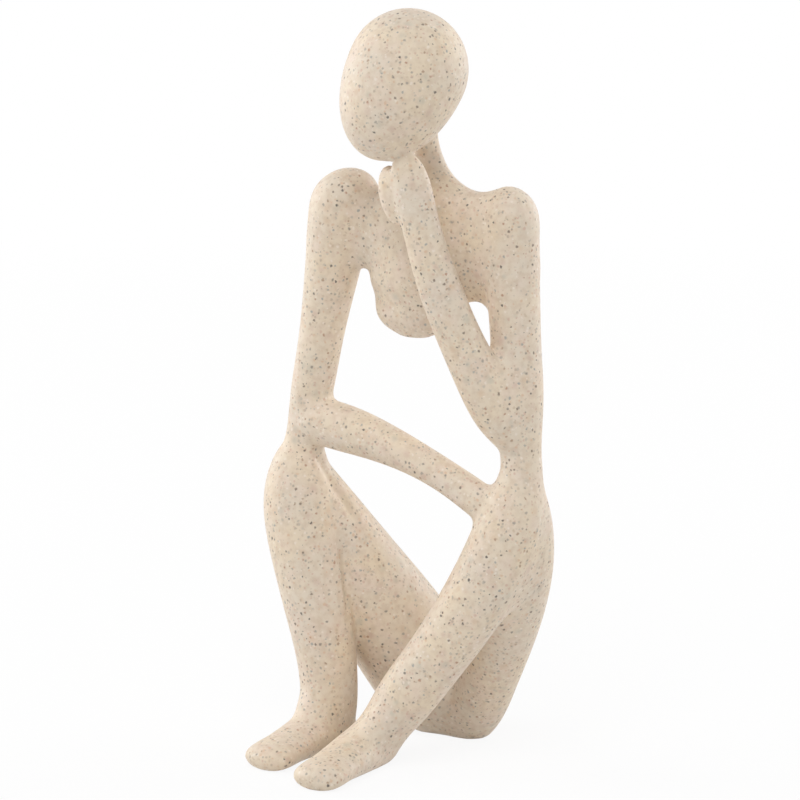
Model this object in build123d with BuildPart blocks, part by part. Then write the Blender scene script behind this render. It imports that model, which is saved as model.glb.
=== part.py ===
from build123d import *
import os
from math import cos, radians, sin

os.makedirs("parts", exist_ok=True)

# A seated thinker, cast in sand-filled resin as six castings that are pinned and glued together.
# The figure faces -Y, its left side is +X, and it sits on the table at Z = 0.
# Lengths are in millimetres. Places are measured from the point on the table midway between the
# knees, each limb from the joint it grows out of, and the finished figure is then set on the
# middle of its own footprint.

# Knees, where each elbow stands on its own knee
right_knee_spread = 20.5
left_knee_spread = 21.0
knee_setback = 3.3
knee_height = 52.0
knee_half_width = 3.5
knee_half_depth = 3.4

# Shoulders and upper arms, from the knees
shoulder_mid_x = 2.9
shoulder_spread = 14.8
shoulder_setback = 1.3
arm_length = 47.7
left_shoulder_drop = 1.3
shoulder_round = 5.6
right_shoulder_half_width = 5.8
left_shoulder_half_width = 4.8

# Neck, chest and the lobe that the chest ends in, from the middle of the shoulders
neck_side = 0.3
neck_forward = 1.2
neck_rise = 3.8
neck_top_side = 1.0
neck_top_forward = 3.4
neck_length = 7.5
chest_side = 0.2
chest_setback = 0.2
chest_drop = 11.2
lobe_side = 2.3
lobe_forward = 0.3
lobe_length = 16.6
neck_half_width = 2.2
chest_half_width = 11.4
chest_half_depth = 5.5

# Head from the top of the neck: an egg whose narrow end is the chin
head_side = 0.65
head_forward = 2.7
head_rise = 6.4
head_half_width = 9.9
crown_length = 10.1
chin_length = 15.7
head_tilt = 26
head_lean = 14.5

# Forearm that rests across on the left knee, from the right knee and from the left knee
resting_elbow_rise = 4.6
resting_hand_inward = 2.7
resting_hand_forward = 1.9
resting_hand_drop = 8.65
resting_forearm_rise = 2.75
resting_forearm_half_width = 3.7

# Forearm and hand that prop the chin, from the left knee and from the chin
propping_elbow_rise = 3.5
propping_hand_side = 6.0
propping_hand_setback = 2.0
propping_hand_rise = 0.8
propping_forearm_bow = 3.7
propping_bow_turn = 60
propping_forearm_half_width = 4.3
propping_forearm_half_depth = 4.0
palm_turn = 28
thumb_side = 2.6
thumb_setback = 0.7
thumb_drop = 7.2
thumb_half_length = 5.0
thumb_half_width = 2.4
thumb_lean = 14

# Thighs, which run back from the knees and meet in the seat
thigh_root_drop = 2.0
right_seat_x = 1.0
right_seat_setback = 23.5
right_seat_height = 0.0
left_seat_x = -0.1
left_seat_setback = 21.0
left_seat_height = -2.5
right_thigh_half_width = 9.6
left_thigh_half_width = 6.5
right_thigh_bow = 1.5
left_thigh_bow = 3.8
thigh_forward_bow = 1.2

# Shins
right_calf_half_width = 6.8
left_calf_half_width = 5.8
right_shin_bow = 1.2
left_shin_bow = 3.8
right_ankle_x = -14.7
right_ankle_setback = 1.6
left_ankle_x = 2.1
left_ankle_forward = 3.2
ankle_height = 11.0
ankle_half_width = 4.4

# Feet
right_heel_x = -14.6
right_heel_setback = 6.4
right_toe_x = -16.9
left_heel_x = -3.0
left_heel_setback = 0.4
left_toe_x = -3.9
foot_length = 24.6
toe_height = 1.75
heel_height = 3.8
heel_round = 3.6
foot_half_width = 4.6
foot_half_height = 4.2
toe_half_height = 2.2
toe_round = 2.6

# Seams between the castings, and the dowels that pin them
hip_seam_x = 1.4
hip_dowel_forward = 4.5
hip_dowel_height = 7.5
shoulder_dowel_rise = 3.0
dowel_radius = 1.0
dowel_length = 8.0
neck_dowel_length = 5.0
chin_dowel_radius = 0.6
chin_dowel_length = 3.0
dowel_clearance = 0.1
dowel_end_gap = 0.3
dowel_chamfer = 0.2

# Rounds where limbs run into each other
right_armpit_round = 1.4
left_armpit_round = 3.1
neck_round = 0.8
wrist_round = 1.2

# Where the seams lie, as shares of the limb or of the shoulders that they cross
shoulder_seam_share = 0.65
neck_seam_share = 0.2
wrist_seam_share = 0.86
chin_seam_share = 0.96

# Section tables: share along the spine, share of the half width, share of the half depth
right_arm_shares = (
    (0.19, 0.97, 0.96), (0.28, 0.89, 0.88), (0.40, 0.79, 0.78), (0.55, 0.69, 0.68),
    (0.70, 0.65, 0.64), (0.82, 0.62, 0.61), (0.92, 0.56, 0.55),
)
left_arm_shares = (
    (0.20, 0.97, 0.96), (0.33, 0.93, 0.92), (0.47, 0.89, 0.88), (0.61, 0.88, 0.87),
    (0.75, 0.87, 0.86), (0.87, 0.77, 0.76), (0.95, 0.72, 0.71),
)
neck_shares = ((0, 1.05, 1.0), (0.10, 1.0, 0.97), (0.19, 1.0, 0.97))
chest_shares = (
    (0.26, 0.25, 0.45), (0.30, 0.33, 0.54), (0.345, 0.51, 0.67), (0.385, 0.79, 0.79), (0.42, 0.99, 0.86),
    (0.46, 1.10, 0.91), (0.54, 1.12, 0.97), (0.60, 1.03, 0.98), (0.66, 0.94, 1.0), (0.71, 0.88, 1.0),
    (0.77, 0.82, 0.95),
)
lobe_share = 0.83
lobe_swell_share = 0.73
resting_shares = (
    (0, 0.84, 0.82), (0.12, 1.09, 1.06), (0.30, 1.02, 0.99), (0.50, 0.84, 0.81),
    (0.70, 0.76, 0.73), (0.85, 0.80, 0.76), (0.95, 0.80, 0.75), (1, 0.74, 0.70),
)
propping_shares = (
    (0, 0.72, 0.75), (0.12, 0.98, 1.0), (0.19, 1.0, 1.0), (0.28, 0.93, 0.93), (0.39, 0.86, 0.85),
    (0.51, 0.83, 0.80), (0.63, 0.79, 0.72), (0.75, 0.73, 0.60), (0.85, 0.73, 0.52),
    (0.92, 0.68, 0.46), (0.97, 0.47, 0.34), (1, 0.20, 0.18),
)
right_thigh_shares = (
    (0, 0.30, 0.29), (0.10, 0.43, 0.42), (0.26, 0.65, 0.63), (0.42, 0.83, 0.80),
    (0.57, 0.96, 0.92), (0.69, 1.0, 0.96),
)
left_thigh_shares = (
    (0, 0.47, 0.46), (0.06, 0.67, 0.66), (0.20, 0.93, 0.91), (0.37, 0.97, 0.95),
    (0.55, 0.87, 0.85), (0.70, 0.81, 0.79),
)
thigh_middle_share = 0.4
seat_start_share = 0.78
right_shin_shares = (
    (0.05, 0.67, 0.66), (0.15, 0.90, 0.88), (0.28, 0.97, 0.94), (0.41, 0.93, 0.90),
    (0.54, 0.88, 0.85), (0.68, 0.81, 0.78), (0.83, 0.74, 0.72), (1, 0.63, 0.61),
)
left_shin_shares = (
    (0.07, 0.74, 0.72), (0.17, 0.94, 0.92), (0.31, 1.0, 0.97), (0.46, 0.97, 0.94),
    (0.60, 0.91, 0.88), (0.74, 0.88, 0.84), (0.86, 0.82, 0.79), (1, 0.70, 0.68),
)
instep_shares = ((0, 0.98, 1.57), (0.35, 0.98, 1.33), (0.75, 0.98, 1.15), (1.2, 0.98, 1.04))
foot_shares = ((0.27, 1.0, 0.96), (0.40, 0.99, 0.87), (0.55, 0.98, 0.74), (0.72, 0.98, 0.61))
resting_middle_share = 0.6
middle_share = 0.5

# Turns at which a section's rim and a rounded end are sliced
rim_turns = range(90, 450, 30)
cap_turns = (0, 25, 48, 68, 83)


def loft_through(sections):
    """Loft ellipses, each given by its plane, half width and half depth."""
    with BuildPart() as blank:
        for plane, half_width, half_depth in sections:
            rim = [(half_width * cos(radians(turn)), half_depth * sin(radians(turn))) for turn in rim_turns]
            with BuildSketch(plane):
                with BuildLine():
                    Spline(*rim, periodic=True)
                make_face()
        loft()
    return blank.part


def swelled(shares, half_width, half_depth):
    """Stations of a limb from a table of shares."""
    return [(along, half_width * wide, half_depth * deep) for along, wide, deep in shares]


def rounded(from_share, to_share, half_width, half_depth):
    """Stations that round a limb off between two shares of its spine."""
    stations = []
    for turn in cap_turns:
        along = from_share + (to_share - from_share) * sin(radians(turn))
        stations.append((along, half_width * cos(radians(turn)), half_depth * cos(radians(turn))))
    return stations


def level(spine, stations):
    """Level sections along a spine."""
    return [(Plane(origin=spine @ along), wide, deep) for along, wide, deep in stations]


def square(spine, stations, side):
    """Sections square to a spine, with their width turned towards one side."""
    sections = []
    for along, wide, deep in stations:
        heading = spine % along
        across = side - heading * side.dot(heading)
        sections.append((Plane(origin=spine @ along, x_dir=across, z_dir=heading), wide, deep))
    return sections


def seam_across(spine, along):
    """Seam square to a spine."""
    return Plane(origin=spine @ along, z_dir=spine % along)


def kept_side(blank, seam, keep):
    """The part of a blank that lies on one side of a seam."""
    with BuildPart() as side:
        add(blank)
        split(bisect_by=seam, keep=keep)
    return side.part


sideways = Vector(1, 0, 0)
backward = Vector(0, 1, 0)
upright = Vector(0, 0, 1)


def shifted(start, side, back, rise):
    """A place reached from another one by going sideways, backward and up."""
    return start + sideways * side + backward * back + upright * rise


table = Vector(0, 0, 0)
right_knee = shifted(table, -right_knee_spread, knee_setback, knee_height)
left_knee = shifted(table, left_knee_spread, knee_setback, knee_height)
shoulder_back = knee_setback + shoulder_setback
shoulders = shifted(table, shoulder_mid_x, shoulder_back, knee_height + arm_length)


# Upper arms
def upper_arm(shoulder, knee, shares, half_width):
    spine = Line(shoulder, knee)
    stations = rounded(shoulder_round / spine.length, 0, half_width, half_width)[::-1]
    stations += swelled(shares, half_width, half_width)
    stations.append((1, knee_half_width, knee_half_depth))
    return loft_through(level(spine, stations))


right_shoulder = shifted(shoulders, -shoulder_spread, 0, 0)
left_shoulder = shifted(shoulders, shoulder_spread, 0, -left_shoulder_drop)
right_upper_arm = upper_arm(right_shoulder, right_knee, right_arm_shares, right_shoulder_half_width)
left_upper_arm = upper_arm(left_shoulder, left_knee, left_arm_shares, left_shoulder_half_width)

# Trunk
neck = shifted(shoulders, neck_side, -neck_forward, neck_rise)
neck_top = shifted(neck, -neck_top_side, -neck_top_forward, neck_length)
chest = shifted(shoulders, -chest_side, chest_setback, -chest_drop)
lobe = shifted(chest, -lobe_side, -lobe_forward, -lobe_length)
trunk_spine = Spline(neck_top, neck, chest, lobe)
trunk_stations = swelled(neck_shares, neck_half_width, neck_half_width)
trunk_stations += swelled(chest_shares, chest_half_width, chest_half_depth)
lobe_half_width = chest_half_width * lobe_swell_share
lobe_half_depth = chest_half_depth * lobe_swell_share
trunk_stations += rounded(lobe_share, 1, lobe_half_width, lobe_half_depth)
trunk = loft_through(level(trunk_spine, trunk_stations))

# Head
head_middle = shifted(neck_top, head_side, -head_forward, head_rise)
crown_side = shifted(table, sin(radians(head_lean)), sin(radians(head_tilt)), cos(radians(head_tilt)))
egg_plane = Plane(origin=head_middle, x_dir=crown_side, z_dir=crown_side.cross(backward))
with BuildPart() as egg:
    with BuildSketch(egg_plane):
        with BuildLine():
            EllipticalCenterArc((0, 0), crown_length, head_half_width, 0, arc_size=90)
            EllipticalCenterArc((0, 0), chin_length, head_half_width, 90, arc_size=90)
            Line((-chin_length, 0), (crown_length, 0))
        make_face()
    revolve(axis=Axis(egg_plane.origin, egg_plane.x_dir))

# Resting forearm
resting_elbow = shifted(right_knee, 0, 0, resting_elbow_rise)
resting_hand = shifted(left_knee, -resting_hand_inward, -resting_hand_forward, -resting_hand_drop)
resting_middle = resting_elbow + (resting_hand - resting_elbow) * resting_middle_share
resting_middle += upright * resting_forearm_rise
resting_spine = Spline(resting_elbow, resting_middle, resting_hand)
resting_stations = swelled(resting_shares, resting_forearm_half_width, resting_forearm_half_width)
resting_forearm = loft_through(square(resting_spine, resting_stations, upright))

# Propping forearm and hand, and the thumb beside the palm
palm_side = Vector(cos(radians(palm_turn)), sin(radians(palm_turn)), 0)
bow_side = Vector(-cos(radians(propping_bow_turn)), -sin(radians(propping_bow_turn)), 0)
propping_elbow = shifted(left_knee, 0, 0, propping_elbow_rise)
chin = head_middle - egg_plane.x_dir * chin_length
propping_hand = shifted(chin, propping_hand_side, propping_hand_setback, propping_hand_rise)
propping_middle = propping_elbow + (propping_hand - propping_elbow) * middle_share
propping_middle += bow_side * propping_forearm_bow
propping_spine = Spline(propping_elbow, propping_middle, propping_hand)
propping_stations = swelled(propping_shares, propping_forearm_half_width, propping_forearm_half_depth)
propping_forearm = loft_through(square(propping_spine, propping_stations, palm_side))

thumb_middle = shifted(propping_hand, -thumb_side, thumb_setback, -thumb_drop)
thumb_heading = Vector(-sin(radians(thumb_lean)), 0, cos(radians(thumb_lean)))
thumb_reach = thumb_heading * thumb_half_length
thumb_spine = Line(thumb_middle - thumb_reach, thumb_middle + thumb_reach)
thumb_stations = rounded(middle_share, 0, thumb_half_width, thumb_half_width)[:0:-1]
thumb_stations += rounded(middle_share, 1, thumb_half_width, thumb_half_width)
thumb = loft_through(square(thumb_spine, thumb_stations, -sideways))


# Thighs
def thigh(knee, seat, bow, shares, half_width):
    root = shifted(knee, 0, 0, -thigh_root_drop)
    middle = root + (seat - root) * thigh_middle_share
    spine = Spline(root, shifted(middle, bow, -thigh_forward_bow, 0), seat)
    stations = swelled(shares, half_width, half_width)
    along, wide, deep = stations[-1]
    stations += rounded(seat_start_share, 1, wide, deep)
    return loft_through(square(spine, stations, sideways))


right_seat = shifted(table, right_seat_x, right_seat_setback, right_seat_height)
left_seat = shifted(table, left_seat_x, left_seat_setback, left_seat_height)
right_thigh = thigh(right_knee, right_seat, -right_thigh_bow, right_thigh_shares, right_thigh_half_width)
left_thigh = thigh(left_knee, left_seat, left_thigh_bow, left_thigh_shares, left_thigh_half_width)


# Shins and feet: each shin runs down into its foot, and the instep leads from one to the other
def shin(knee, ankle, sole, bow, shares, half_width):
    middle = knee + (ankle - knee) * middle_share + sideways * bow
    spine = Spline(knee, middle, ankle, sole)
    sections = [(Plane(origin=knee, x_dir=sideways, z_dir=-upright), knee_half_width, knee_half_depth)]
    sections += square(spine, swelled(shares, half_width, half_width), sideways)
    return loft_through(sections)


def instep(ankle, sole, forward, across):
    sections = []
    for rise, wide, reach in instep_shares:
        middle = sole + (ankle - sole) * rise + forward * (ankle_half_width * (reach - 1))
        plane = Plane(origin=middle, x_dir=forward, z_dir=forward.cross(across))
        sections.append((plane, ankle_half_width * reach, ankle_half_width * wide))
    return loft_through(sections)


def foot(heel, toe, across):
    spine = Line(heel, toe)
    stations = rounded(heel_round / foot_length, 0, foot_half_width, foot_half_height)[::-1]
    stations += swelled(foot_shares, foot_half_width, foot_half_height)
    stations += rounded(1 - toe_round / foot_length, 1, foot_half_width, toe_half_height)
    sections = []
    for along, wide, deep in stations:
        plane = Plane(origin=spine @ along, x_dir=across, z_dir=across.cross(upright))
        sections.append((plane, wide, deep))
    return loft_through(sections)


def lower_leg(knee, ankle, heel, toe, bow, shares, half_width):
    forward = Vector(toe.X - heel.X, toe.Y - heel.Y, 0).normalized()
    across = upright.cross(forward)
    ankle_reach = (ankle - heel).dot(forward)
    sole = heel + forward * ankle_reach
    with BuildPart() as leg:
        add(shin(knee, ankle, sole, bow, shares, half_width))
        add(instep(ankle, sole, forward, across))
        add(foot(heel, toe, across))
    return leg.part


right_ankle = shifted(table, right_ankle_x, right_ankle_setback, ankle_height)
right_heel = shifted(table, right_heel_x, right_heel_setback, heel_height)
right_toe = shifted(table, right_toe_x, right_heel_setback - foot_length, toe_height)
left_ankle = shifted(table, left_ankle_x, -left_ankle_forward, ankle_height)
left_heel = shifted(table, left_heel_x, left_heel_setback, heel_height)
left_toe = shifted(table, left_toe_x, left_heel_setback - foot_length, toe_height)
right_lower_leg = lower_leg(
    right_knee, right_ankle, right_heel, right_toe, -right_shin_bow, right_shin_shares, right_calf_half_width
)
left_lower_leg = lower_leg(
    left_knee, left_ankle, left_heel, left_toe, left_shin_bow, left_shin_shares, left_calf_half_width
)

# Seams: the shoulders and the hip are parted by upright planes, the limbs square across
neck_seam = seam_across(trunk_spine, neck_seam_share)
chin_seam = seam_across(propping_spine, chin_seam_share)
wrist_seam = seam_across(resting_spine, wrist_seam_share)
shoulder_seam_spread = shoulder_spread * shoulder_seam_share
right_dowel_middle = shifted(chest, -shoulder_seam_spread, 0, shoulder_dowel_rise)
left_dowel_middle = shifted(chest, shoulder_seam_spread, 0, shoulder_dowel_rise)
right_shoulder_seam = Plane(origin=right_dowel_middle, z_dir=sideways)
left_shoulder_seam = Plane(origin=left_dowel_middle, z_dir=sideways)
right_knee_seam = Plane(origin=right_knee, z_dir=upright)
left_knee_seam = Plane(origin=left_knee, z_dir=upright)
hip_dowel_setback = right_seat_setback - hip_dowel_forward
hip_seam = Plane(origin=shifted(table, hip_seam_x, hip_dowel_setback, hip_dowel_height), z_dir=sideways)

# Holes that take the dowels
hole_radius = dowel_radius + dowel_clearance
hole_length = dowel_length + dowel_end_gap + dowel_end_gap
neck_hole_length = neck_dowel_length + dowel_end_gap + dowel_end_gap
chin_hole_radius = chin_dowel_radius + dowel_clearance
chin_hole_length = chin_dowel_length + dowel_end_gap + dowel_end_gap

# The trunk with both arms, and both thighs, are bored whole and parted into castings below
with BuildPart() as yoke:
    add(trunk)
    add(right_upper_arm)
    fillet(yoke.edges(Select.NEW), right_armpit_round)
    add(left_upper_arm)
    fillet(yoke.edges(Select.NEW), left_armpit_round)
    with Locations(right_shoulder_seam, left_shoulder_seam):
        Cylinder(hole_radius, hole_length, mode=Mode.SUBTRACT)
    with Locations(neck_seam):
        Cylinder(hole_radius, neck_hole_length, mode=Mode.SUBTRACT)
with BuildPart() as hips:
    add(right_thigh)
    add(left_thigh)
    with Locations(hip_seam):
        Cylinder(hole_radius, hole_length, mode=Mode.SUBTRACT)

with BuildPart() as head:
    add(egg.part)
    add(kept_side(trunk, neck_seam, Keep.BOTTOM))
    fillet(head.edges(Select.NEW), neck_round)
    add(kept_side(propping_forearm, chin_seam, Keep.TOP))
    with Locations(neck_seam):
        Cylinder(hole_radius, neck_hole_length, mode=Mode.SUBTRACT)
    with Locations(chin_seam):
        Cylinder(chin_hole_radius, chin_hole_length, mode=Mode.SUBTRACT)

with BuildPart() as torso:
    add(yoke.part)
    split(bisect_by=neck_seam, keep=Keep.TOP)
    split(bisect_by=right_shoulder_seam, keep=Keep.TOP)
    split(bisect_by=left_shoulder_seam, keep=Keep.BOTTOM)

with BuildPart() as resting_arm:
    add(kept_side(yoke.part, right_shoulder_seam, Keep.BOTTOM))
    add(kept_side(resting_forearm, wrist_seam, Keep.BOTTOM))
    with Locations(right_knee_seam, wrist_seam):
        Cylinder(hole_radius, hole_length, mode=Mode.SUBTRACT)

with BuildPart() as propping_arm:
    add(kept_side(yoke.part, left_shoulder_seam, Keep.TOP))
    add(kept_side(propping_forearm, chin_seam, Keep.BOTTOM))
    add(thumb)
    with Locations(left_knee_seam):
        Cylinder(hole_radius, hole_length, mode=Mode.SUBTRACT)
    with Locations(chin_seam):
        Cylinder(chin_hole_radius, chin_hole_length, mode=Mode.SUBTRACT)

with BuildPart() as right_leg:
    add(kept_side(hips.part, hip_seam, Keep.BOTTOM))
    add(right_lower_leg)
    split(bisect_by=Plane.XY, keep=Keep.TOP)
    with Locations(right_knee_seam):
        Cylinder(hole_radius, hole_length, mode=Mode.SUBTRACT)

with BuildPart() as left_leg:
    add(left_lower_leg)
    add(kept_side(resting_forearm, wrist_seam, Keep.TOP))
    fillet(left_leg.edges(Select.NEW), wrist_round)
    add(kept_side(hips.part, hip_seam, Keep.TOP))
    split(bisect_by=Plane.XY, keep=Keep.TOP)
    with Locations(left_knee_seam, wrist_seam):
        Cylinder(hole_radius, hole_length, mode=Mode.SUBTRACT)

# Dowels, chamfered at both ends
with BuildPart() as neck_dowel:
    with Locations(neck_seam):
        Cylinder(dowel_radius, neck_dowel_length)
    chamfer(neck_dowel.edges().filter_by(GeomType.CIRCLE), dowel_chamfer)
with BuildPart() as right_shoulder_dowel:
    with Locations(right_shoulder_seam):
        Cylinder(dowel_radius, dowel_length)
    chamfer(right_shoulder_dowel.edges().filter_by(GeomType.CIRCLE), dowel_chamfer)
with BuildPart() as left_shoulder_dowel:
    with Locations(left_shoulder_seam):
        Cylinder(dowel_radius, dowel_length)
    chamfer(left_shoulder_dowel.edges().filter_by(GeomType.CIRCLE), dowel_chamfer)
with BuildPart() as right_knee_dowel:
    with Locations(right_knee_seam):
        Cylinder(dowel_radius, dowel_length)
    chamfer(right_knee_dowel.edges().filter_by(GeomType.CIRCLE), dowel_chamfer)
with BuildPart() as left_knee_dowel:
    with Locations(left_knee_seam):
        Cylinder(dowel_radius, dowel_length)
    chamfer(left_knee_dowel.edges().filter_by(GeomType.CIRCLE), dowel_chamfer)
with BuildPart() as hip_dowel:
    with Locations(hip_seam):
        Cylinder(dowel_radius, dowel_length)
    chamfer(hip_dowel.edges().filter_by(GeomType.CIRCLE), dowel_chamfer)
with BuildPart() as wrist_dowel:
    with Locations(wrist_seam):
        Cylinder(dowel_radius, dowel_length)
    chamfer(wrist_dowel.edges().filter_by(GeomType.CIRCLE), dowel_chamfer)
with BuildPart() as chin_dowel:
    with Locations(chin_seam):
        Cylinder(chin_dowel_radius, chin_dowel_length)
    chamfer(chin_dowel.edges().filter_by(GeomType.CIRCLE), dowel_chamfer)

# Set the figure on the middle of its footprint, then name and write out each piece
castings = (head, torso, resting_arm, propping_arm, right_leg, left_leg)
dowels = (
    neck_dowel, right_shoulder_dowel, left_shoulder_dowel, right_knee_dowel, left_knee_dowel,
    hip_dowel, wrist_dowel, chin_dowel,
)
boxes = [casting.part.bounding_box() for casting in castings]
middle_x = (min(box.min.X for box in boxes) + max(box.max.X for box in boxes)) / 2
middle_y = (min(box.min.Y for box in boxes) + max(box.max.Y for box in boxes)) / 2
for piece in castings + dowels:
    piece.part.move(Location((-middle_x, -middle_y, 0)))

head.part.label = "head"
torso.part.label = "torso"
resting_arm.part.label = "resting_arm"
propping_arm.part.label = "propping_arm"
right_leg.part.label = "right_leg"
left_leg.part.label = "left_leg"
neck_dowel.part.label = "neck_dowel"
right_shoulder_dowel.part.label = "right_shoulder_dowel"
left_shoulder_dowel.part.label = "left_shoulder_dowel"
right_knee_dowel.part.label = "right_knee_dowel"
left_knee_dowel.part.label = "left_knee_dowel"
hip_dowel.part.label = "hip_dowel"
wrist_dowel.part.label = "wrist_dowel"
chin_dowel.part.label = "chin_dowel"
export_step(head.part, "parts/head.step")
export_step(torso.part, "parts/torso.step")
export_step(resting_arm.part, "parts/resting_arm.step")
export_step(propping_arm.part, "parts/propping_arm.step")
export_step(right_leg.part, "parts/right_leg.step")
export_step(left_leg.part, "parts/left_leg.step")
export_step(neck_dowel.part, "parts/neck_dowel.step")
export_step(right_shoulder_dowel.part, "parts/right_shoulder_dowel.step")
export_step(left_shoulder_dowel.part, "parts/left_shoulder_dowel.step")
export_step(right_knee_dowel.part, "parts/right_knee_dowel.step")
export_step(left_knee_dowel.part, "parts/left_knee_dowel.step")
export_step(hip_dowel.part, "parts/hip_dowel.step")
export_step(wrist_dowel.part, "parts/wrist_dowel.step")
export_step(chin_dowel.part, "parts/chin_dowel.step")
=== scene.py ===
# %% [markdown]
# # A seated thinker in speckled sand resin
# The real thing is a hand-sized shelf ornament: a faceless figure cast in resin that is filled with
# coloured sand. The castings are pinned and glued, the joins are filled, and the whole skin is sealed
# to a satin-matt finish. The solid castings arrive as a fixed frame in metres. This lesson grows one
# flowing skin from them, parts it again into the same castings, and gives it its sandy finish.

# %% Load the castings
import math
from collections import Counter

import bmesh
import bpy
import numpy as np
from mathutils import Matrix, Vector
from mathutils.kdtree import KDTree


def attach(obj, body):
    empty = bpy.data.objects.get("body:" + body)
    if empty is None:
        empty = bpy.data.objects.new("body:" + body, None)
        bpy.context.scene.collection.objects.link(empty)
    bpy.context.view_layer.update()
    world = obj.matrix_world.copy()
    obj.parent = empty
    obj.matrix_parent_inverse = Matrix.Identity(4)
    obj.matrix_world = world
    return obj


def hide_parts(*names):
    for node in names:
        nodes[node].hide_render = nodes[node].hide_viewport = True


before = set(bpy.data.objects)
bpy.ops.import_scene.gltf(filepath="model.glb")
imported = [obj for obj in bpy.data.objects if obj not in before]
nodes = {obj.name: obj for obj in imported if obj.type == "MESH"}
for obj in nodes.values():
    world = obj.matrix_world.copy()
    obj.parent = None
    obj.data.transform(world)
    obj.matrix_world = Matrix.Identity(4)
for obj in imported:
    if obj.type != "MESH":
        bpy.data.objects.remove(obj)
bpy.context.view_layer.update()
castings = ["head", "torso", "resting_arm", "propping_arm", "right_leg", "left_leg"]
dowels = sorted(name for name in nodes if name.endswith("_dowel"))
millimetre = 0.001
scene = bpy.context.scene
print("castings:", castings)
print("dowels:", dowels)

# %% [markdown]
# ## Where the seams are
# Each glued seam is marked by its dowel, which stands square across it. So a dowel's middle and its
# direction give the plane of its seam. They also make good landmarks on a figure that has no corners.

# %% Find the dowels
def dowel_line(name):
    """Middle, direction, half length and radius of a dowel."""
    corners = np.array([vertex.co for vertex in nodes[name].data.vertices])
    middle = (corners.min(axis=0) + corners.max(axis=0)) / 2
    direction = np.linalg.svd(corners - middle, full_matrices=False)[2][0]
    along = (corners - middle) @ direction
    radius = np.linalg.norm(corners - middle - np.outer(along, direction), axis=1).max()
    return Vector(middle), Vector(direction), along.max(), radius


seams = {name: dowel_line(name) for name in dowels}
for name, seam in seams.items():
    print(name, [round(c / millimetre, 1) for c in seam[0]])

# %% [markdown]
# ## Camera
# The figure was photographed from a little above, with a long lens, from the figure's left of its
# front. A camera is easiest to place by an aim point, a turn, a rise and a distance. The long lens
# keeps the limbs' proportions flat, as they are in the photograph.

# %% Place the camera
camera_aim = Vector((1.03, -2.04, 62.0)) * millimetre
camera_turn = math.radians(28)
camera_rise = math.radians(11)
camera_distance = 600 * millimetre
camera_lens = 162
camera_sensor = 36
nearest_seen = 10 * millimetre


def direction_from(turn, rise):
    """The direction from the figure to something that stands at a turn from its front and a rise."""
    return Vector((math.sin(turn) * math.cos(rise), -math.cos(turn) * math.cos(rise), math.sin(rise)))


towards_camera = direction_from(camera_turn, camera_rise)
camera_data = bpy.data.cameras.new("camera")
camera_data.lens = camera_lens
camera_data.sensor_width = camera_sensor
camera_data.clip_start = nearest_seen
camera = bpy.data.objects.new("camera", camera_data)
scene.collection.objects.link(camera)
camera.location = camera_aim + towards_camera * camera_distance
camera.rotation_euler = (-towards_camera).to_track_quat("-Z", "Y").to_euler()
scene.camera = camera
print("camera at", [round(v, 3) for v in camera.location])

# %% [markdown]
# ## One skin from six castings
# On the real figure filler hides every join, so the eye sees a single skin. A boolean union would
# keep hard creases where limbs meet, and it dislikes faces that lie on each other, as glued faces do.
# A voxel remesh doesn't mind: it fills a fine grid with everything that is solid and wraps it afresh.

# %% Wrap the castings in one skin
voxel = 0.42 * millimetre
weld_distance = 0.0001 * millimetre
gathered = bmesh.new()
for name in castings + dowels:
    gathered.from_mesh(nodes[name].data)
bmesh.ops.remove_doubles(gathered, verts=gathered.verts[:], dist=weld_distance)
gathered_mesh = bpy.data.meshes.new("gathered")
gathered.to_mesh(gathered_mesh)
gathered.free()
wrapper = bpy.data.objects.new("wrapper", gathered_mesh)
scene.collection.objects.link(wrapper)
remesh = wrapper.modifiers.new("wrap", "REMESH")
remesh.mode = "VOXEL"
remesh.voxel_size = voxel
wrapped = wrapper.evaluated_get(bpy.context.evaluated_depsgraph_get())
skin_mesh = bpy.data.meshes.new_from_object(wrapped)
bpy.data.objects.remove(wrapper)
bpy.data.meshes.remove(gathered_mesh)
print("wrapped skin:", len(skin_mesh.vertices), "points")

# %% [markdown]
# The wrap also lines the dowel holes inside. Only the outer skin is wanted, and it is the piece of
# the mesh that holds the most faces, so the others go.

# %% Keep the outer skin
def islands(mesh_edit):
    """Groups of faces that hang together, largest first."""
    waiting = set(mesh_edit.faces)
    found = []
    while waiting:
        group = [waiting.pop()]
        for face in group:
            for edge in face.edges:
                for other in edge.link_faces:
                    if other in waiting:
                        waiting.remove(other)
                        group.append(other)
        found.append(group)
    return sorted(found, key=len, reverse=True)


skin = bmesh.new()
skin.from_mesh(skin_mesh)
skin_islands = islands(skin)
for inner in skin_islands[1:]:
    bmesh.ops.delete(skin, geom=inner, context="FACES")
skin.to_mesh(skin_mesh)
skin.free()
print("islands found:", [len(group) for group in skin_islands])

# %% [markdown]
# ## Soft webs in the creases
# A caster's thumb smooths filler into the armpits, insteps and wrists. The same thing can be done to
# a mesh: each point looks at its neighbours, and where they stand prouder than it does, it is in a
# hollow and rises to meet them. Points on ridges stay, so limbs keep their girth. Blender's smooth
# modifiers work on hollows and ridges alike, so this is done with rows of numbers instead: the points,
# the two ends of every edge and the four corners of every face.

# %% Read the skin into rows of numbers
point_count = len(skin_mesh.vertices)
points = np.empty(point_count * 3)
skin_mesh.vertices.foreach_get("co", points)
points = points.reshape(-1, 3)
edge_ends = np.empty(len(skin_mesh.edges) * 2, dtype=np.int64)
skin_mesh.edges.foreach_get("vertices", edge_ends)
edge_ends = edge_ends.reshape(-1, 2)
quads = np.array([polygon.vertices[:] for polygon in skin_mesh.polygons])
neighbour_count = np.bincount(edge_ends.ravel(), minlength=point_count)[:, None]
print("rows:", len(points), "points,", len(edge_ends), "edges,", len(quads), "faces")

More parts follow.
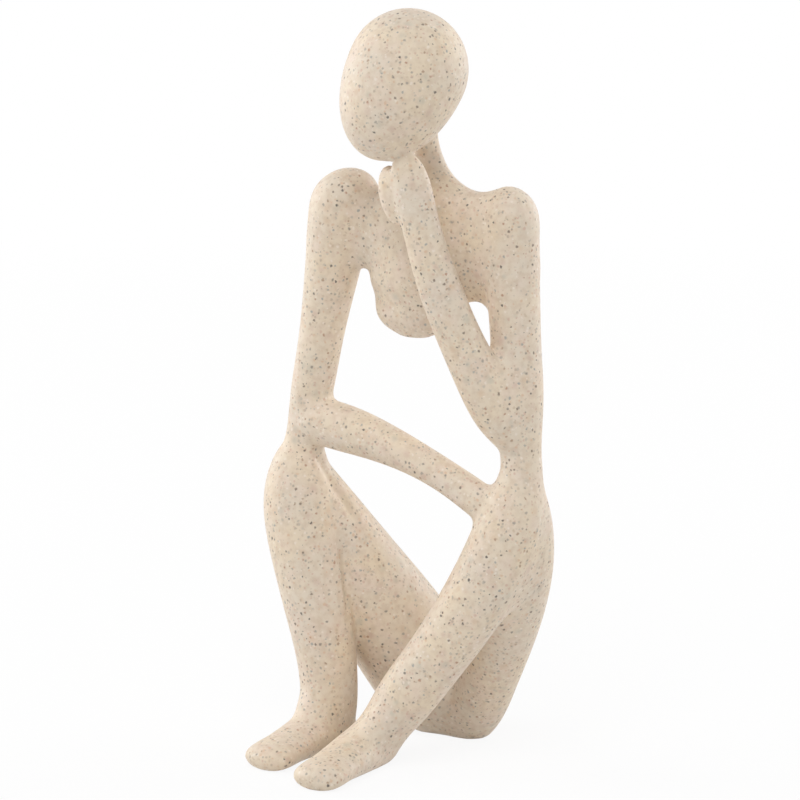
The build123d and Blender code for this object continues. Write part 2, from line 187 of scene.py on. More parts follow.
# %% [markdown]
# A hollow is measured along the direction that the skin faces. A bowl is a hollow whose neighbours
# stand above it on average. A valley is one whose higher neighbours stand above it, whatever the lower
# ones do, so it also finds a notch that runs across a rounded limb.

# %% Measure hollows
def gather(indices, values):
    """Add up rows of values at the points that they belong to."""
    return np.stack([np.bincount(indices, values[:, k], point_count) for k in range(3)], axis=1)


def pull(pairs):
    """How far each point lies from the mean of its neighbours."""
    sums = gather(pairs[:, 0], points[pairs[:, 1]]) + gather(pairs[:, 1], points[pairs[:, 0]])
    return sums / neighbour_count - points


def unit(rows):
    """Rows of values, each scaled to length 1."""
    return rows / np.maximum(np.linalg.norm(rows, axis=1, keepdims=True), np.finfo(float).tiny)


def face_directions(faces):
    """Each face's outward direction, as long as the face is large."""
    return np.cross(points[faces[:, 2]] - points[faces[:, 0]], points[faces[:, 3]] - points[faces[:, 1]])


def outward(faces):
    """Each point's outward direction."""
    facing = face_directions(faces)
    return unit(sum(gather(faces[:, corner], facing) for corner in range(4)))


def bowl_depth(pairs, normals):
    """How far a point's neighbours stand above it on average."""
    return np.einsum("ij,ij->i", pull(pairs), normals)


def valley_depth(pairs, normals):
    """How far a point's higher neighbours stand above it, whatever the lower ones do."""
    apart = points[pairs[:, 1]] - points[pairs[:, 0]]
    depth = np.zeros(point_count)
    for end, side in ((0, apart), (1, -apart)):
        height = np.einsum("ij,ij->i", side, normals[pairs[:, end]])
        depth += np.bincount(pairs[:, end], np.clip(height, 0, None), point_count)
    return depth / neighbour_count[:, 0]


print("ways to measure a hollow:", bowl_depth.__name__, "and", valley_depth.__name__)

# %% [markdown]
# Plain smoothing shrinks a limb. Going a step towards the neighbours and a slightly longer step back
# takes away the steps that the voxels leave and keeps the girth. Filling goes one way only, outwards.
# Where filling makes the skin fold over itself, the few points around the fold are evened out.

# %% Soften, fill and untangle
smooth_step = 0.5
return_step = 0.52
rounds_per_direction = 8
fold_limit = 0.5
fold_rings = 3


def soften(rounds):
    """Smooth there and back, which takes away voxel steps but keeps the girth."""
    for _ in range(rounds):
        points[:] += smooth_step * pull(edge_ends)
        points[:] -= return_step * pull(edge_ends)


def fill(rounds, strength, depth):
    """Raise points that lie in hollows, where there is any strength."""
    active = strength > 0
    pairs = edge_ends[active[edge_ends].any(axis=1)]
    faces = quads[active[quads].any(axis=1)]
    for step in range(rounds):
        if step % rounds_per_direction == 0:
            normals = outward(faces)
        points[:] += normals * (np.clip(depth(pairs, normals), 0, None) * strength)[:, None]


def untangle(rounds):
    """Even out the few points where the filled skin has folded over itself."""
    for _ in range(rounds):
        agreement = np.einsum("ijk,ik->ij", outward(quads)[quads], unit(face_directions(quads)))
        folded = np.zeros(point_count, dtype=bool)
        folded[quads[agreement.min(axis=1) < fold_limit]] = True
        for _ in range(fold_rings):
            folded[edge_ends[folded[edge_ends].any(axis=1)]] = True
        points[folded] += smooth_step * pull(edge_ends)[folded]


def nearness(places):
    """How near each point is to any of several places, from 0 to 1."""
    nearest = np.zeros(point_count)
    for dowel, offset, reach in places:
        place = np.array(seams[dowel][0]) + np.array(offset) * millimetre
        apart = np.linalg.norm(points - place, axis=1) / (reach * millimetre)
        nearest = np.maximum(nearest, np.clip(1 - apart ** 2, 0, 1) ** 2)
    return nearest


print("smoothing goes there by", smooth_step, "and back by", return_step)

# %% [markdown]
# The webs aren't equal. Shoulders, elbow crooks, the seat and the outer left leg flow together, while
# the right calf keeps a sharp crease against its thigh. Bowls are filled all over a little and at the
# webs a lot. A notch across a limb, such as the heel's, is a saddle, level on average from the start, so
# it is filled as a valley. Each place is an offset from a dowel and a reach, both in millimetres.

# %% Choose the places
web_places = [
    ("right_shoulder_dowel", (-2.5, -4.5, 1.0), 12.0),
    ("left_shoulder_dowel", (1.5, -2.5, 3.0), 14.0),
    ("left_knee_dowel", (-2.0, -4.0, 17.0), 12.0),
    ("left_knee_dowel", (-1.5, -2.0, -23.0), 12.0),
    ("left_knee_dowel", (-5.0, 1.5, -29.0), 9.0),
    ("right_knee_dowel", (5.5, -1.0, 9.0), 7.0),
    ("hip_dowel", (0.0, -4.0, -6.5), 9.0),
]
notch_places = [
    ("neck_dowel", (2.8, 0.5, 2.8), 9.0),
    ("chin_dowel", (-2.0, -1.0, -1.0), 2.7),
    ("left_shoulder_dowel", (1.5, -1.5, 5.5), 6.0),
    ("left_knee_dowel", (3.8, -0.5, -7.0), 8.0),
    ("left_knee_dowel", (-1.5, -2.0, -23.0), 9.0),
    ("left_knee_dowel", (-5.0, 1.5, -29.0), 9.0),
    ("hip_dowel", (0.0, -4.0, -6.5), 6.0),
    ("hip_dowel", (0.7, -23.0, -3.5), 5.0),
    ("hip_dowel", (-3.5, -27.0, 1.0), 9.0),
    ("hip_dowel", (-10.5, -18.0, -1.0), 4.0),
]
crease_places = [
    ("right_knee_dowel", (8.0, 0.5, -11.0), 9.0),
    ("right_knee_dowel", (9.0, 0.0, -20.0), 12.0),
    ("right_knee_dowel", (9.0, -1.0, -28.0), 12.0),
]
print("places:", len(web_places), "webs,", len(notch_places), "notches,", len(crease_places), "creases")

# %% Fill the creases
voxel_rounds = 6
all_over_rounds = 40
all_over_strength = 0.6
web_rounds = 400
web_strength = 0.8
notch_rounds = 300
notch_strength = 0.6
before = points.copy()
soften(voxel_rounds)
fill(all_over_rounds, all_over_strength * (1 - nearness(crease_places)), bowl_depth)
fill(web_rounds, web_strength * nearness(web_places), bowl_depth)
fill(notch_rounds, notch_strength * nearness(notch_places), valley_depth)
print("largest fill: %.2f mm" % (np.linalg.norm(points - before, axis=1).max() / millimetre))

# %% [markdown]
# Where the right calf is pressed against its thigh, the caster leaves a fine line. It is cut into the
# skin along two rows of places, given in millimetres from the knee dowel, and dies out at their ends.

# %% Cut the calf's fine line
line_depth = 0.45 * millimetre
line_half_width = 0.75 * millimetre
line_samples = 60
line_end_share = 0.2
line_soften_rounds = 4
untangle_rounds = 40
upper_line = [(3, -2, 0), (5.5, 0, -6), (7.5, 1, -9.5), (10.5, 2, -15)]
lower_line = [(8.5, -0.5, -15), (8.5, -0.5, -22), (10, -2, -31)]


def cut_line(dowel, offsets):
    """Sink the points that lie along a row of places."""
    corners = np.array(seams[dowel][0]) + np.array(offsets) * millimetre
    steps = np.linspace(0, len(corners) - 1, line_samples)
    line = np.stack([np.interp(steps, range(len(corners)), corners[:, k]) for k in range(3)], axis=1)
    nearest = np.full(point_count, np.inf)
    along = np.zeros(point_count)
    for share, place in zip(np.linspace(0, 1, line_samples), line):
        apart = np.linalg.norm(points - place, axis=1)
        closer = apart < nearest
        nearest[closer] = apart[closer]
        along[closer] = share
    fade = np.clip(np.minimum(along, 1 - along) / line_end_share, 0, 1)
    sink = line_depth * fade * np.exp(-(nearest / line_half_width) ** 2)
    points[:] -= outward(quads) * sink[:, None]


cut_line("right_knee_dowel", upper_line)
cut_line("right_knee_dowel", lower_line)
soften(line_soften_rounds)
untangle(untangle_rounds)
skin_mesh.vertices.foreach_set("co", points.ravel())
skin_mesh.update()
print("cut two lines,", round(line_depth / millimetre, 2), "mm deep")

# %% [markdown]
# ## Part the skin where the castings meet
# The skin is cut along each dowel's seam. Only the skin around the seam is cut, because the same plane
# may also cross another limb. A cut that runs right round its limb is a closed loop of edges.

# %% Find loops of edges
def chains(edges):
    """Groups of edges that hang together."""
    waiting = set(edges)
    found = []
    while waiting:
        chain = [waiting.pop()]
        for edge in chain:
            for vert in edge.verts:
                for other in vert.link_edges:
                    if other in waiting:
                        waiting.remove(other)
                        chain.append(other)
        found.append(chain)
    return found


def is_loop(chain):
    """True where a chain of edges closes on itself."""
    uses = Counter(vert for edge in chain for vert in edge.verts)
    return all(count == 2 for count in uses.values())


def chain_middle(chain):
    """The middle of a chain of edges."""
    return sum((vert.co for edge in chain for vert in edge.verts), Vector()) / (2 * len(chain))


print("a seam is a closed loop of edges")

# %% [markdown]
# The reach of each cut, in millimetres from its dowel, goes past the limb's own skin and stops short of
# the next limb. Where a cut doesn't close, it is made again with a wider reach. Points that lie almost
# on the seam are moved onto it, so no slivers of faces are left beside the cut.

# %% Cut along the seams
seam_reach = {
    "neck_dowel": 7.0, "chin_dowel": 6.0, "wrist_dowel": 7.0, "hip_dowel": 17.0,
    "right_shoulder_dowel": 14.0, "left_shoulder_dowel": 14.0,
    "right_knee_dowel": 8.0, "left_knee_dowel": 9.0,
}
reach_tries = (1.0, 1.2, 1.4)
snap_distance = 0.01 * millimetre


def cut_seam(middle, direction, reach):
    """Cut the skin near a dowel along its seam and list the closed loops of the cut."""
    near = [face for face in skin.faces if (face.calc_center_median() - middle).length < reach]
    touched = set(near)
    for face in near:
        touched.update(face.edges)
        touched.update(face.verts)
    cut = bmesh.ops.bisect_plane(
        skin, geom=list(touched), plane_co=middle, plane_no=direction,
        dist=snap_distance, use_snap_center=True,
    )
    cut_edges = [part for part in cut["geom_cut"] if isinstance(part, bmesh.types.BMEdge)]
    return [chain for chain in chains(cut_edges) if is_loop(chain)]


skin = bmesh.new()
skin.from_mesh(skin_mesh)
seam_loops = []
for name, (middle, direction, half_length, radius) in seams.items():
    loops = []
    for widening in reach_tries:
        loops = loops or cut_seam(middle, direction, seam_reach[name] * widening * millimetre)
    loop = min(loops, key=lambda chain: (chain_middle(chain) - middle).length)
    seam_loops.append(loop)
    print(name, "seam of", len(loop), "edges, from", len(loops), "loops")

# %% [markdown]
# Before the pieces come apart, every point notes the direction that the whole skin faces there. The
# pieces keep those directions, so light runs over a glued seam without a break.

# %% Come apart into castings
skin.normal_update()
facing_layer = skin.verts.layers.float_vector.new("facing")
for vert in skin.verts:
    vert[facing_layer] = vert.normal
bmesh.ops.split_edges(skin, edges=[edge for loop in seam_loops for edge in loop])
casting_tree = KDTree(sum(len(nodes[name].data.vertices) for name in castings))
casting_owner = []
for name in castings:
    for vertex in nodes[name].data.vertices:
        casting_tree.insert(vertex.co, len(casting_owner))
        casting_owner.append(name)
casting_tree.balance()
sample_step = 7
owners = []
for group in islands(skin):
    nearest = [casting_tree.find(face.calc_center_median())[1] for face in group[::sample_step]]
    votes = Counter(casting_owner[index] for index in nearest)
    owners.append((votes.most_common(1)[0][0], group))
print("pieces:", [(name, len(group)) for name, group in owners])

# %% [markdown]
# ## Close each casting
# A casting is solid, with a flat glued face at each seam and a hole that takes half of the dowel. The
# flat face is filled between the skin's edge and the hole's rim. The rim is then drawn inwards to make
# the hole's wall, and its far end is closed.

# %% Seat a dowel
hole_clearance = 0.1 * millimetre
hole_end_gap = 0.3 * millimetre
hole_sides = 24


def seat_dowel(piece, loop):
    """Close one open seam with a flat face and a dowel hole."""
    middle_here = chain_middle(loop)
    seam = min(seams.values(), key=lambda line: (line[0] - middle_here).length)
    middle, direction, half_length, radius = seam
    skin_faces = {face for edge in loop for face in edge.link_faces}
    beside = sum((face.calc_center_median() for face in skin_faces), Vector()) / len(skin_faces)
    inward = direction if (beside - middle).dot(direction) > 0 else -direction
    turn = inward.to_track_quat("Z", "Y").to_matrix().to_4x4()
    rim = bmesh.ops.create_circle(
        piece, segments=hole_sides, radius=radius + hole_clearance,
        matrix=Matrix.Translation(middle) @ turn,
    )
    rim_edges = list({edge for vert in rim["verts"] for edge in vert.link_edges})
    flat = bmesh.ops.triangle_fill(piece, edges=loop + rim_edges, use_beauty=True, normal=-inward)
    wall = bmesh.ops.extrude_edge_only(piece, edges=rim_edges)
    end_verts = [part for part in wall["geom"] if isinstance(part, bmesh.types.BMVert)]
    bmesh.ops.translate(piece, verts=end_verts, vec=inward * (half_length + hole_end_gap))
    end_face = bmesh.ops.contextual_create(piece, geom=end_verts)
    flat_faces = [part for part in flat["geom"] + wall["geom"] if isinstance(part, bmesh.types.BMFace)]
    for face in flat_faces + end_face["faces"]:
        face.smooth = False


print("dowel holes have", hole_sides, "sides")

# %% [markdown]
# Each group of faces becomes a casting of its own. It rides with the figure, stands in for the solid
# casting that it was grown from, and keeps the directions noted before the skin came apart.

# %% Make the castings
pieces = {}
for name, group in owners:
    piece = bmesh.new()
    piece_facing = piece.verts.layers.float_vector.new("facing")
    copies = {}
    for face in group:
        for vert in face.verts:
            if vert not in copies:
                copies[vert] = piece.verts.new(vert.co)
                copies[vert][piece_facing] = vert[facing_layer]
        piece.faces.new([copies[vert] for vert in face.verts]).smooth = True
    open_edges = [edge for edge in piece.edges if edge.is_boundary]
    for loop in chains(open_edges):
        seat_dowel(piece, loop)
    bmesh.ops.recalc_face_normals(piece, faces=piece.faces[:])
    mesh = bpy.data.meshes.new(name + "_casting")
    piece.to_mesh(mesh)
    leaks = sum(not edge.is_manifold for edge in piece.edges)
    piece.free()
    facing = mesh.attributes["facing"].data
    corner_facing = []
    for polygon in mesh.polygons:
        for vertex in polygon.vertices:
            corner_facing.append(facing[vertex].vector if polygon.use_smooth else polygon.normal)
    mesh.normals_split_custom_set(corner_facing)
    mesh.attributes.remove(mesh.attributes["facing"])
    casting = bpy.data.objects.new(name + "_casting", mesh)
    scene.collection.objects.link(casting)
    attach(casting, "root")
    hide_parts(name)
    pieces[name] = casting
    print(casting.name, len(mesh.polygons), "faces,", leaks, "open edges")
skin.free()
bpy.data.meshes.remove(skin_mesh)

# %% [markdown]
# ## Sand in resin
# The resin is cast with a dose of coloured sand, so grains of several colours lie at every depth and
# the surface slices through them. A cell texture in three dimensions does just that: each cell holds
# at most one round grain, and the skin shows whatever disc it cuts from it. The pattern is laid out in
# millimetres from the figure's own origin, so it runs on over the seams.

# %% Node helpers
def from_screen(red, green, blue):
    """A screen colour, turned by the standard screen curve into the linear light that shaders use."""
    levels = [level / 255 for level in (red, green, blue)]
    linear = [level / 12.92 if level < 0.04045 else ((level + 0.055) / 1.055) ** 2.4 for level in levels]
    return (*linear, 1)


def new_group(name, inputs, outputs):
    """A node group with named sockets, and its two end nodes."""
    group = bpy.data.node_groups.new(name, "ShaderNodeTree")
    for socket, kind in inputs:
        group.interface.new_socket(socket, in_out="INPUT", socket_type=kind)
    for socket, kind in outputs:
        group.interface.new_socket(socket, in_out="OUTPUT", socket_type=kind)
    return group, group.nodes.new("NodeGroupInput"), group.nodes.new("NodeGroupOutput")


def feed(tree, socket, value):
    """Give a socket a value, which is a constant or another socket."""
    if isinstance(value, bpy.types.NodeSocket):
        tree.links.new(value, socket)
    else:
        socket.default_value = value


def math_node(tree, operation, first, second):
    """Two values worked into one."""
    node = tree.nodes.new("ShaderNodeMath")
    node.operation = operation
    feed(tree, node.inputs[0], first)
    feed(tree, node.inputs[1], second)
    return node.outputs["Value"]


def blend_colours(tree, amount, below, above):
    """One colour laid over another. Sockets 0, 6 and 7 are the amount and the two colours."""
    node = tree.nodes.new("ShaderNodeMix")
    node.data_type = "RGBA"
    feed(tree, node.inputs[0], amount)
    feed(tree, node.inputs[6], below)
    feed(tree, node.inputs[7], above)
    return node.outputs[2]


def pick_colour(tree, pick, colours):
    """One of several colours, by a number from 0 to 1."""
    ramp = tree.nodes.new("ShaderNodeValToRGB")
    ramp.color_ramp.interpolation = "CONSTANT"
    while len(ramp.color_ramp.elements) < len(colours):
        ramp.color_ramp.elements.new(1)
    for step, colour in enumerate(colours):
        ramp.color_ramp.elements[step].position = step / len(colours)
        ramp.color_ramp.elements[step].color = colour
    tree.links.new(pick, ramp.inputs["Fac"])
    return ramp.outputs["Color"]


def add_group(tree, group, place, values):
    """A node group placed in a material, with its own values."""
    node = tree.nodes.new("ShaderNodeGroup")
    node.node_tree = group
    tree.links.new(place, node.inputs["Place"])
    for socket, number in values.items():
        node.inputs[socket].default_value = number
    return node.outputs


print("screen level 128 of 255 is", round(from_screen(128, 128, 128)[0], 3), "in linear light")

# %% [markdown]
# A grain has a chance of being there, a size, a colour, and a soft edge that starts at a share of its
# size. Each cell of the texture has a random colour that decides the first three: its red whether there
# is a grain, its blue how large it is, and its green which colour is picked for it.

# %% Grains as a node group
smallest_grain_share = 0.4
grains, grain_in, grain_out = new_group(
    "sand_grains",
    [("Place", "NodeSocketVector"), ("Spacing", "NodeSocketFloat"), ("Share", "NodeSocketFloat"),
     ("Size", "NodeSocketFloat"), ("Edge", "NodeSocketFloat")],
    [("Grain", "NodeSocketFloat"), ("Pick", "NodeSocketFloat")],
)
cells = grains.nodes.new("ShaderNodeTexVoronoi")
grains.links.new(grain_in.outputs["Place"], cells.inputs["Vector"])
grains.links.new(math_node(grains, "DIVIDE", 1, grain_in.outputs["Spacing"]), cells.inputs["Scale"])
chances = grains.nodes.new("ShaderNodeSeparateColor")
grains.links.new(cells.outputs["Color"], chances.inputs["Color"])
present = math_node(grains, "LESS_THAN", chances.outputs["Red"], grain_in.outputs["Share"])
larger = math_node(grains, "MULTIPLY", chances.outputs["Blue"], 1 - smallest_grain_share)
uneven = math_node(grains, "ADD", larger, smallest_grain_share)
rim = math_node(grains, "MULTIPLY", uneven, grain_in.outputs["Size"])
inside = grains.nodes.new("ShaderNodeMapRange")
inside.interpolation_type = "SMOOTHSTEP"
inside.inputs["To Min"].default_value = 1
inside.inputs["To Max"].default_value = 0
grains.links.new(cells.outputs["Distance"], inside.inputs["Value"])
grains.links.new(math_node(grains, "MULTIPLY", rim, grain_in.outputs["Edge"]), inside.inputs["From Min"])
grains.links.new(rim, inside.inputs["From Max"])
grain = math_node(grains, "MULTIPLY", present, inside.outputs["Result"])
grains.links.new(grain, grain_out.inputs["Grain"])
grains.links.new(chances.outputs["Green"], grain_out.inputs["Pick"])
print("node group:", grains.name)

# %% [markdown]
# Neither the resin nor the steel is even. Both drift slowly over the surface: the resin in its cream, the
# steel in its tarnish, and each in its polish. So the drift is a group too: noise with so many waves to
# the millimetre, where the range from Low to High is spread over the range from To Low to To High.

# %% Drift as a node group
drift, drift_in, drift_out = new_group(
    "surface_drift",
    [("Place", "NodeSocketVector"), ("Waves", "NodeSocketFloat"), ("Detail", "NodeSocketFloat"),
     ("Low", "NodeSocketFloat"), ("High", "NodeSocketFloat"), ("To Low", "NodeSocketFloat"),
     ("To High", "NodeSocketFloat")],
    [("Amount", "NodeSocketFloat")],
)
ripple = drift.nodes.new("ShaderNodeTexNoise")
drift.links.new(drift_in.outputs["Place"], ripple.inputs["Vector"])
drift.links.new(drift_in.outputs["Waves"], ripple.inputs["Scale"])
drift.links.new(drift_in.outputs["Detail"], ripple.inputs["Detail"])
spread = drift.nodes.new("ShaderNodeMapRange")
drift.links.new(ripple.outputs["Fac"], spread.inputs["Value"])
drift.links.new(drift_in.outputs["Low"], spread.inputs["From Min"])
drift.links.new(drift_in.outputs["High"], spread.inputs["From Max"])
drift.links.new(drift_in.outputs["To Low"], spread.inputs["To Min"])
drift.links.new(drift_in.outputs["To High"], spread.inputs["To Max"])
drift.links.new(spread.outputs["Result"], drift_out.inputs["Amount"])
print("node group:", drift.name)

# %% [markdown]
# Three more helpers: a place on the figure in millimetres, noise as it is, and a dose of sand laid over
# a colour.

# %% Pattern helpers
def place_in_millimetres(tree):
    """Where a point lies on the figure, in millimetres."""
    position = tree.nodes.new("ShaderNodeTexCoord")
    place = tree.nodes.new("ShaderNodeVectorMath")
    place.operation = "SCALE"
    place.inputs["Scale"].default_value = 1 / millimetre
    tree.links.new(position.outputs["Object"], place.inputs[0])
    return place.outputs[0]


def noise(tree, place, waves, detail):
    """Noise with so many waves to the millimetre."""
    node = tree.nodes.new("ShaderNodeTexNoise")
    node.inputs["Scale"].default_value = waves
    node.inputs["Detail"].default_value = detail
    tree.links.new(place, node.inputs["Vector"])
    return node.outputs


def sprinkle(tree, below, place, dose, cover, colours):
    """A dose of sand over a colour, and the mask of its grains."""
    sand = add_group(tree, grains, place, dose)
    amount = math_node(tree, "MULTIPLY", sand["Grain"], cover)
    return blend_colours(tree, amount, below, pick_colour(tree, sand["Pick"], colours)), sand["Grain"]


print("one unit of the pattern is", millimetre, "m")

# %% [markdown]
# The cream resin itself isn't even: it drifts between a warmer, a greyer and a pinker cream, and it is
# mottled with tan. Over that come three doses of sand: soft stains from grains that lie just under the
# surface, many small pale grains, and a scatter of dark ones. Spacings are in millimetres, and a grain's
# size is a share of its spacing.

# %% Colours and doses of the resin
warm_cream = from_screen(230, 213, 188)
grey_cream = from_screen(224, 211, 193)
pink_cream = from_screen(229, 209, 193)
tan_cream = from_screen(206, 184, 160)
stain_colours = [from_screen(192, 186, 170), from_screen(216, 188, 158), from_screen(206, 176, 160)]
pale_colours = [
    from_screen(200, 178, 152), from_screen(186, 176, 162), from_screen(214, 178, 144),
    from_screen(240, 228, 216), from_screen(206, 170, 150), from_screen(178, 160, 142),
]
dark_colours = [
    from_screen(168, 158, 146), from_screen(178, 150, 126), from_screen(84, 78, 72),
    from_screen(184, 146, 122), from_screen(164, 162, 156), from_screen(132, 116, 102),
    from_screen(174, 164, 150), from_screen(150, 140, 128),
]
grey_drift = {"Waves": 0.12, "Detail": 2, "Low": 0.35, "High": 0.65, "To Low": 0, "To High": 1}
pink_drift = {"Waves": 0.3, "Detail": 3, "Low": 0.45, "High": 0.75, "To Low": 0, "To High": 0.7}
tan_drift = {"Waves": 0.9, "Detail": 3, "Low": 0.42, "High": 0.72, "To Low": 0, "To High": 0.55}
satin_drift = {"Waves": 0.8, "Detail": 3, "Low": 0.3, "High": 0.7, "To Low": 0.46, "To High": 0.6}
stain_dose = {"Spacing": 2.0, "Share": 0.55, "Size": 0.66, "Edge": 0.0}
pale_dose = {"Spacing": 0.62, "Share": 0.66, "Size": 0.64, "Edge": 0.3}
dark_dose = {"Spacing": 0.8, "Share": 0.6, "Size": 0.46, "Edge": 0.35}
stain_cover = 0.5
pale_cover = 0.62
dark_cover = 0.9
print("sand colours:", len(stain_colours + pale_colours + dark_colours))

# %% [markdown]
# Sand grains aren't round. Before they are laid out, every place is shaken by a little noise, and the
# grains come out ragged.

# %% Colour of the resin
shake_waves = 2.2
shake_detail = 2
shake_reach = 0.45
sand_resin = bpy.data.materials.new("speckled_sand_resin")
sand_resin.use_nodes = True
tree = sand_resin.node_tree
resin = tree.nodes["Principled BSDF"]
place = place_in_millimetres(tree)
shaken = tree.nodes.new("ShaderNodeVectorMath")
shaken.operation = "MULTIPLY_ADD"
shaken.inputs[1].default_value = (shake_reach, shake_reach, shake_reach)
tree.links.new(noise(tree, place, shake_waves, shake_detail)["Color"], shaken.inputs[0])
tree.links.new(place, shaken.inputs[2])
ragged = shaken.outputs[0]
body = warm_cream
for cream, cream_drift in ((grey_cream, grey_drift), (pink_cream, pink_drift), (tan_cream, tan_drift)):
    body = blend_colours(tree, add_group(tree, drift, place, cream_drift)["Amount"], body, cream)
body, _ = sprinkle(tree, body, ragged, stain_dose, stain_cover, stain_colours)
body, _ = sprinkle(tree, body, ragged, pale_dose, pale_cover, pale_colours)
body, dark_grains = sprinkle(tree, body, ragged, dark_dose, dark_cover, dark_colours)
tree.links.new(body, resin.inputs["Base Color"])
print("material:", sand_resin.name)

# %% [markdown]
# Sealer fills most of the roughness, so the bump is slight: a fine unevenness, with the dark grains a
# little proud of it. The polish is satin and drifts a little, and a faint dusty sheen makes the edges
# paler.

# %% Polish and bump of the resin
skin_waves = 1.6
skin_detail = 5
grain_rise_share = 0.35
bump_strength = 0.25
bump_height = 0.06 * millimetre
tree.links.new(add_group(tree, drift, place, satin_drift)["Amount"], resin.inputs["Roughness"])
bump = tree.nodes.new("ShaderNodeBump")
bump.inputs["Strength"].default_value = bump_strength
bump.inputs["Distance"].default_value = bump_height
risen = math_node(tree, "MULTIPLY", dark_grains, grain_rise_share)
height = math_node(tree, "ADD", noise(tree, place, skin_waves, skin_detail)["Fac"], risen)
tree.links.new(height, bump.inputs["Height"])
tree.links.new(bump.outputs["Normal"], resin.inputs["Normal"])
resin.inputs["Sheen Weight"].default_value = 0.2
resin.inputs["Sheen Roughness"].default_value = 0.35
resin.inputs["Sheen Tint"].default_value = (1.0, 0.94, 0.9, 1)
for casting in pieces.values():
    casting.data.materials.append(sand_resin)
print(sand_resin.name, "on", len(pieces), "castings, with", len(tree.nodes), "nodes")

# %% [markdown]
# ## Steel dowels
# The pins are plain steel rod, cut to length and chamfered. Glue and handling leave them a little dull
# in places. They are hidden in the glued figure and show only when the castings are taken apart, so
# their own solids stay as they are and just take a steel finish.

# %% Drawn steel
bright_steel = from_screen(206, 206, 208)
dull_steel = from_screen(168, 168, 170)
tarnish_drift = {"Waves": 0.5, "Detail": 2, "Low": 0.35, "High": 0.65, "To Low": 0, "To High": 1}
polish_drift = {"Waves": 6.0, "Detail": 4, "Low": 0.3, "High": 0.7, "To Low": 0.28, "To High": 0.45}
dowel_steel = bpy.data.materials.new("drawn_dowel_steel")
dowel_steel.use_nodes = True
tree = dowel_steel.node_tree
steel = tree.nodes["Principled BSDF"]
steel.inputs["Metallic"].default_value = 1.0
place = place_in_millimetres(tree)
tarnish = add_group(tree, drift, place, tarnish_drift)["Amount"]
tree.links.new(blend_colours(tree, tarnish, bright_steel, dull_steel), steel.inputs["Base Color"])
tree.links.new(add_group(tree, drift, place, polish_drift)["Amount"], steel.inputs["Roughness"])
for name in dowels:
    for finish in nodes[name].material_slots:
        finish.material = dowel_steel
print("material:", dowel_steel.name, "on", len(dowels), "dowels")

# %% [markdown]
# ## Studio
# A light tent: white cloth all round, a lamp behind the cloth on each side and a large one above. Both
# sides of every limb catch light, as in the photograph. The floor keeps a faint shadow near the figure
# and fades to plain white farther off, so no horizon shows.

# %% Lay the floor
half_floor = 3.0
floor_mesh = bpy.data.meshes.new("floor")
floor_corners = [(x * half_floor, y * half_floor, 0) for x, y in ((-1, -1), (1, -1), (1, 1), (-1, 1))]
floor_mesh.from_pydata(floor_corners, [], [(0, 1, 2, 3)])
floor = bpy.data.objects.new("floor", floor_mesh)
scene.collection.objects.link(floor)
print("floor of", 2 * half_floor, "m")

# %% [markdown]
# Real white cloth would need strong light to come out white, and that would burn out the pale figure.
# So the floor is part cloth, which takes the shadow, and part plain white for whatever sees it straight
# on. It lights the figure as cloth does.

# %% Floor of white cloth
white = (1, 1, 1, 1)
cloth_white = (0.9, 0.9, 0.9, 1)
floor_white_share = 0.9
shadow_reach = 0.15
fade_reach = 0.6


def seen_directly(tree):
    """1 where the camera, a reflection or glass sees the surface, 0 where it only gives light."""
    path = tree.nodes.new("ShaderNodeLightPath")
    both = math_node(tree, "MAXIMUM", path.outputs["Is Camera Ray"], path.outputs["Is Glossy Ray"])
    return math_node(tree, "MAXIMUM", both, path.outputs["Is Transmission Ray"])


tent_floor = bpy.data.materials.new("tent_floor")
tent_floor.use_nodes = True
tree = tent_floor.node_tree
tree.nodes.remove(tree.nodes["Principled BSDF"])
cloth = tree.nodes.new("ShaderNodeBsdfDiffuse")
cloth.inputs["Color"].default_value = cloth_white
glow = tree.nodes.new("ShaderNodeEmission")
glow.inputs["Color"].default_value = white
glow.inputs["Strength"].default_value = 1.0
mixed = tree.nodes.new("ShaderNodeMixShader")
spot = tree.nodes.new("ShaderNodeTexCoord")
away = tree.nodes.new("ShaderNodeVectorMath")
away.operation = "LENGTH"
tree.links.new(spot.outputs["Object"], away.inputs[0])
whiter = tree.nodes.new("ShaderNodeMapRange")
whiter.inputs["From Min"].default_value = shadow_reach
whiter.inputs["From Max"].default_value = fade_reach
whiter.inputs["To Min"].default_value = floor_white_share
tree.links.new(away.outputs["Value"], whiter.inputs["Value"])
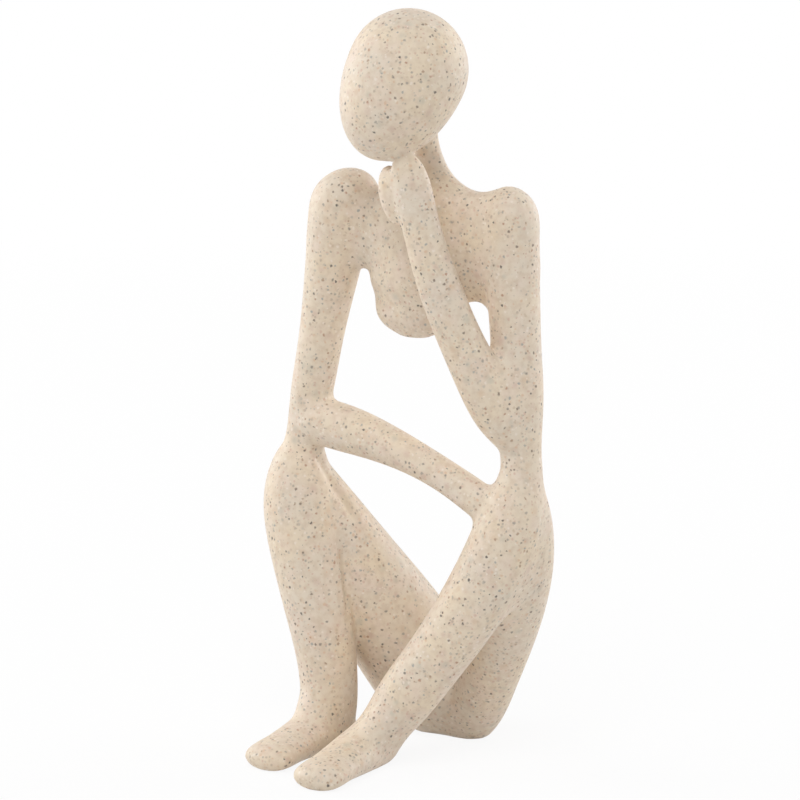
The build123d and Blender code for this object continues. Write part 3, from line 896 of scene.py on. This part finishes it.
white_share = math_node(tree, "MULTIPLY", seen_directly(tree), whiter.outputs["Result"])
tree.links.new(white_share, mixed.inputs["Fac"])
tree.links.new(cloth.outputs["BSDF"], mixed.inputs[1])
tree.links.new(glow.outputs["Emission"], mixed.inputs[2])
tree.links.new(mixed.outputs["Shader"], tree.nodes["Material Output"].inputs["Surface"])
floor_mesh.materials.append(tent_floor)
print("material:", tent_floor.name)

# %% [markdown]
# The tent itself is the world around the figure. It looks plain white, and it lights the figure with
# less than that, so that the lamps still shape it.

# %% White tent
tent_light = 0.42
world = bpy.data.worlds.new("tent")
scene.world = world
world.use_nodes = True
tree = world.node_tree
background = tree.nodes["Background"]
background.inputs["Color"].default_value = white
strength = tree.nodes.new("ShaderNodeMapRange")
strength.inputs["To Min"].default_value = tent_light
strength.inputs["To Max"].default_value = 1.0
tree.links.new(seen_directly(tree), strength.inputs["Value"])
tree.links.new(strength.outputs["Result"], background.inputs["Strength"])
print("tent light:", tent_light)

# %% [markdown]
# A lamp is placed as the camera was, by a turn, a rise and a distance from the same aim point. The turn
# counts from the camera. Turns and rises are in degrees, distances and sizes in metres, power in watts.

# %% Lamps
lamps = [
    {"name": "left_lamp", "turn": -115, "rise": 15, "distance": 0.6, "size": 0.5, "power": 2.0},
    {"name": "right_lamp", "turn": 120, "rise": 15, "distance": 0.6, "size": 0.5, "power": 1.8},
    {"name": "top_lamp", "turn": -12, "rise": 55, "distance": 2.0, "size": 1.2, "power": 17.5},
]
for lamp in lamps:
    lamp_data = bpy.data.lights.new(lamp["name"], "AREA")
    lamp_data.size = lamp["size"]
    lamp_data.energy = lamp["power"]
    lamp_object = bpy.data.objects.new(lamp["name"], lamp_data)
    scene.collection.objects.link(lamp_object)
    towards_lamp = direction_from(camera_turn + math.radians(lamp["turn"]), math.radians(lamp["rise"]))
    lamp_object.location = camera_aim + towards_lamp * lamp["distance"]
    lamp_object.rotation_euler = (-towards_lamp).to_track_quat("-Z", "Y").to_euler()
scene.view_settings.view_transform = "Standard"
print("lamps:", [lamp["name"] for lamp in lamps])
